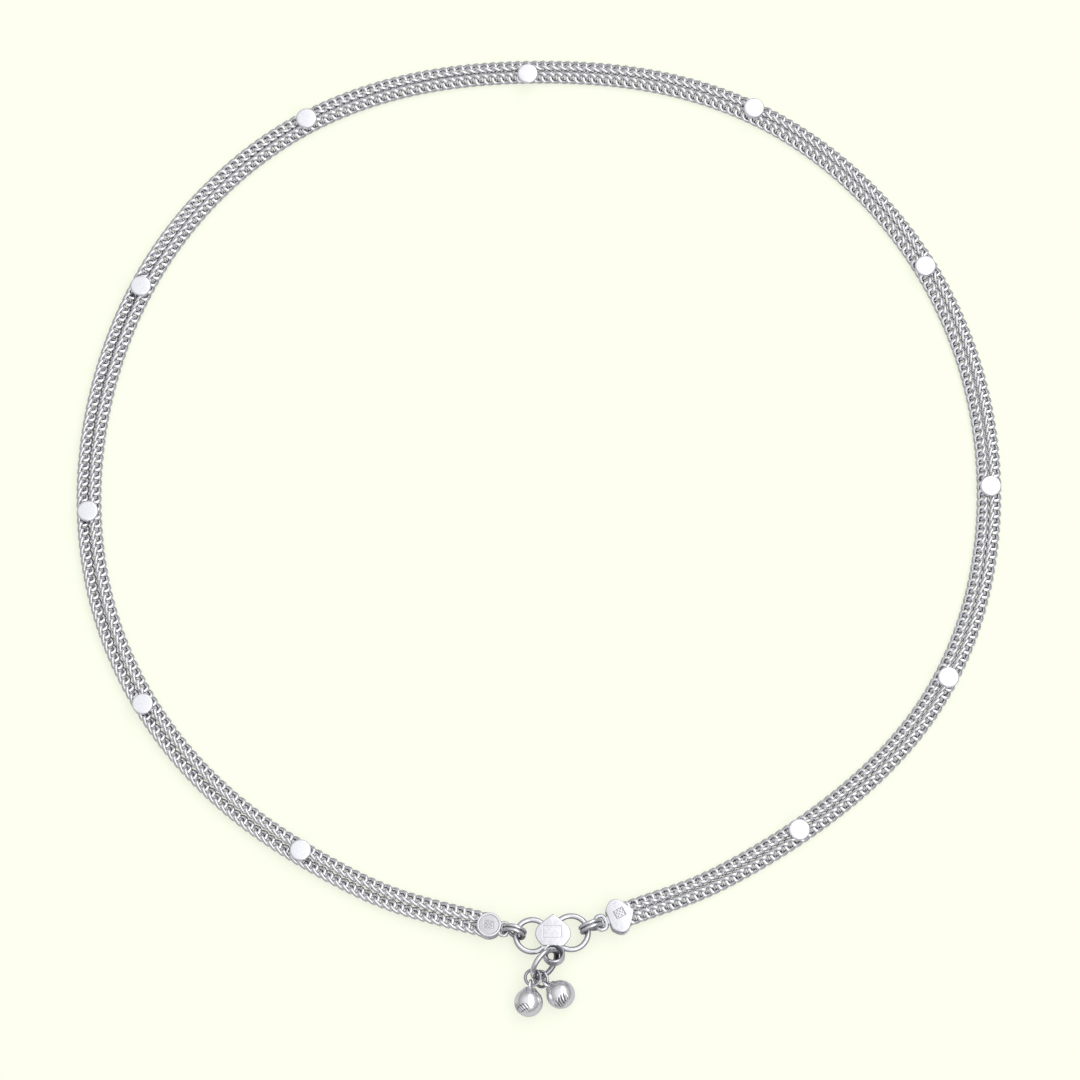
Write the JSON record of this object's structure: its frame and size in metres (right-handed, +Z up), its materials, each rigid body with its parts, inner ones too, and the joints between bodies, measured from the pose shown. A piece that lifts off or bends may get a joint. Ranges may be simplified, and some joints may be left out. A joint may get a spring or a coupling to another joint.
{
  "type": "baby waist chain",
  "caption": "Silver waist chain for a baby: two curb chains side by side with round discs, folded end caps, a spade clasp and small bells, lying closed in a ring.",
  "frame": {"origin": "middle of the whole outline, on the surface it lies on", "axes": "+Z up from the surface; the clasp and its bells are at -Y; +X runs to the right seen from the clasp's side"},
  "size_m": [0.1494, 0.1608, 0.0056],
  "materials": {
    "chain_silver": "polished",
    "disc_silver": "satin",
    "cap_silver": "satin",
    "wire_silver": "polished",
    "plate_silver": "satin",
    "bell_silver": "mirror polished"
  },
  "bodies": {
    "root": {"strand_outer": "chain_silver", "strand_inner": "chain_silver", "disc_01": "disc_silver", "disc_02": "disc_silver", "disc_03": "disc_silver", "disc_04": "disc_silver", "disc_05": "disc_silver", "disc_06": "disc_silver", "disc_07": "disc_silver", "disc_08": "disc_silver", "disc_09": "disc_silver", "disc_10": "disc_silver", "disc_11": "disc_silver", "end_cap_left": "cap_silver", "end_cap_right": "cap_silver", "double_ring_left": "wire_silver", "double_ring_right": "wire_silver", "drop_ring": "wire_silver", "bell_ring_left": "wire_silver", "bell_ring_right": "wire_silver", "clasp": "plate_silver", "bell_left": "bell_silver", "bell_right": "bell_silver"}
  },
  "joints": []
}
